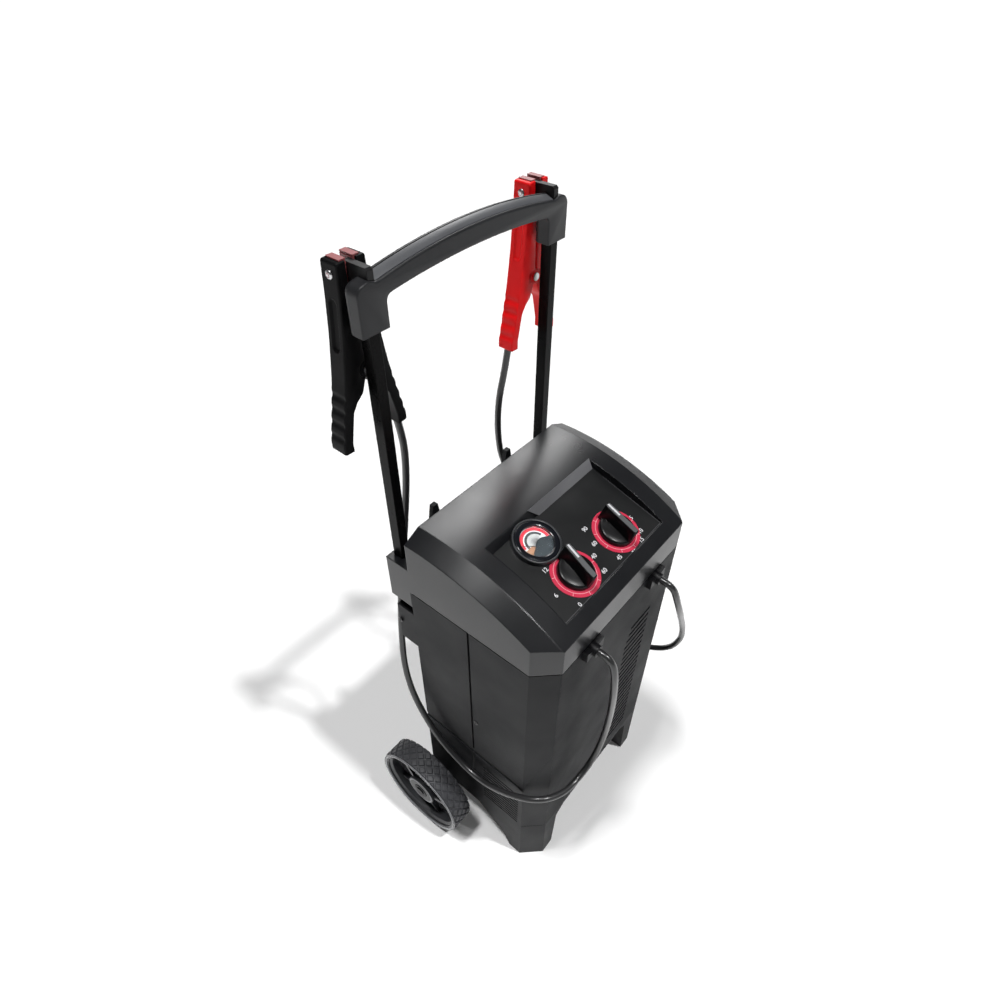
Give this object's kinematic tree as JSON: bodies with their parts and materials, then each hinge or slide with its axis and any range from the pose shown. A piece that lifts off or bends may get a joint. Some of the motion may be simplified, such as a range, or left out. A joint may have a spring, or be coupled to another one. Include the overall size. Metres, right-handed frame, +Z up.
{
  "type": "wheeled battery charger",
  "caption": "Wheeled car battery charger with a louvred case, ammeter, selector and timer knobs, bow handle, and two leads with spring clamps.",
  "frame": {"origin": "on the floor, in the middle of the footprint of the case, handle and wheels (the leads, clamps and strain reliefs are not counted)", "axes": "+Z up, -Y is the front face with the louvres, +X to the right seen from the front, the wheels and the handle are at the rear (+Y)"},
  "size_m": [0.452, 0.3437, 0.9875],
  "materials": {
    "case_plastic": "fine grained black plastic",
    "hood_plastic": "satin dark grey plastic",
    "panel_plastic": "satin black panel",
    "strip_plastic": "satin grey strip",
    "ring_red": "red printed ring",
    "knob_plastic": "gloss black knob with a grey grip edge",
    "bezel_plastic": "gloss black bezel",
    "lens_clear": "clear plastic lens",
    "dial_white": "white printed dial",
    "needle_dark": "thin painted pointer",
    "mask_grey": "dark grey cover",
    "post_metal": "gloss black powder coat",
    "grip_plastic": "satin dark plastic",
    "steel": "zinc plated steel",
    "dark_steel": "black screws",
    "rubber": "black flexible plastic",
    "lead_rubber": "satin dark cable jacket",
    "tyre_rubber": "black tyre rubber",
    "wheel_plastic": "satin dark grey wheel",
    "clamp_black": "black clamp plastic",
    "clamp_red": "red clamp plastic",
    "copper": "copper plated steel",
    "core_steel": "laminated core",
    "winding": "enamelled winding",
    "aluminium": "plain aluminium",
    "inner_plastic": "moulded inner part"
  },
  "bodies": {
    "charger": {"axle": "steel", "axle_caps": "rubber", "base": "case_plastic", "black_clamp_fixed": "clamp_black", "black_clamp_fixed_jaw": "copper", "black_clamp_pin": "steel", "black_clamp_spring": "steel", "chassis_plate": "steel", "circuit_breaker": "inner_plastic", "clamp_rest_left": "grip_plastic", "clamp_rest_right": "grip_plastic", "control_panel": "panel_plastic", "cord_hook_left": "case_plastic", "cord_hook_right": "case_plastic", "front_fascia": "case_plastic", "front_housing": "case_plastic", "handle_grip": "grip_plastic", "handle_post_left": "post_metal", "handle_post_right": "post_metal", "handle_screws": "dark_steel", "hood": "hood_plastic", "housing_screws": "dark_steel", "inner_screws": "steel", "lead_black": "lead_rubber", "lead_red": "lead_rubber", "mains_gland": "rubber", "meter_bezel": "bezel_plastic", "meter_body": "bezel_plastic", "meter_dial": "dial_white", "meter_lens": "lens_clear", "meter_mask": "mask_grey", "panel_strip": "strip_plastic", "rear_housing": "case_plastic", "rectifier_diodes": "dark_steel", "rectifier_plate": "aluminium", "red_clamp_fixed": "clamp_red", "red_clamp_fixed_jaw": "copper", "red_clamp_pin": "steel", "red_clamp_spring": "steel", "selector_dial_ring": "ring_red", "selector_switch": "inner_plastic", "strain_relief_left": "rubber", "strain_relief_right": "rubber", "terminal_block": "inner_plastic", "timer_dial_ring": "ring_red", "timer_mechanism": "inner_plastic", "transformer_coil": "winding", "transformer_core": "core_steel", "wheel_spacers": "inner_plastic"},
    "wheel_left_spin": {"wheel_left": "wheel_plastic", "tyre_left": "tyre_rubber"},
    "wheel_right_spin": {"wheel_right": "wheel_plastic", "tyre_right": "tyre_rubber"},
    "selector_turn": {"selector_knob": "knob_plastic"},
    "timer_turn": {"timer_knob": "knob_plastic"},
    "meter_pointer": {"meter_needle": "needle_dark"},
    "black_clamp_jaw": {"black_clamp_moving": "clamp_black", "black_clamp_moving_jaw": "copper"},
    "red_clamp_jaw": {"red_clamp_moving": "clamp_red", "red_clamp_moving_jaw": "copper"}
  },
  "joints": [
    {"name": "wheel_left_axle", "type": "hinge", "parent": "charger", "child": "wheel_left_spin", "pos_m": [-0.2065, 0.0605, 0.085], "axis": [1, 0, 0], "continuous": true},
    {"name": "wheel_right_axle", "type": "hinge", "parent": "charger", "child": "wheel_right_spin", "pos_m": [0.2065, 0.0605, 0.085], "axis": [1, 0, 0], "continuous": true},
    {"name": "selector_dial", "type": "hinge", "parent": "charger", "child": "selector_turn", "pos_m": [-0.046, -0.09356, 0.61454], "axis": [0, 0.2874, -0.9578], "range_deg": [-145.5, 124.5]},
    {"name": "timer_dial", "type": "hinge", "parent": "charger", "child": "timer_turn", "pos_m": [0.048, -0.09222, 0.61494], "axis": [0, 0.2874, -0.9578], "range_deg": [-155.7, 144.3]},
    {"name": "meter_needle_swing", "type": "hinge", "parent": "charger", "child": "meter_pointer", "pos_m": [-0.051, -0.04337, 0.6296], "axis": [0, 0.2874, -0.9578], "range_deg": [0, 96], "stiffness_Nm_per_rad": 0.0005},
    {"name": "black_clamp_open", "type": "hinge", "parent": "charger", "child": "black_clamp_jaw", "pos_m": [-0.145, 0.1395, 0.866], "axis": [0, -1, 0], "range_deg": [0, 28], "stiffness_Nm_per_rad": 2, "springref_deg": -20.05, "deforming": ["black_clamp_spring"]},
    {"name": "red_clamp_open", "type": "hinge", "parent": "charger", "child": "red_clamp_jaw", "pos_m": [0.145, 0.1395, 0.866], "axis": [0, 1, 0], "range_deg": [0, 28], "stiffness_Nm_per_rad": 2, "springref_deg": -20.05, "deforming": ["red_clamp_spring"]}
  ]
}
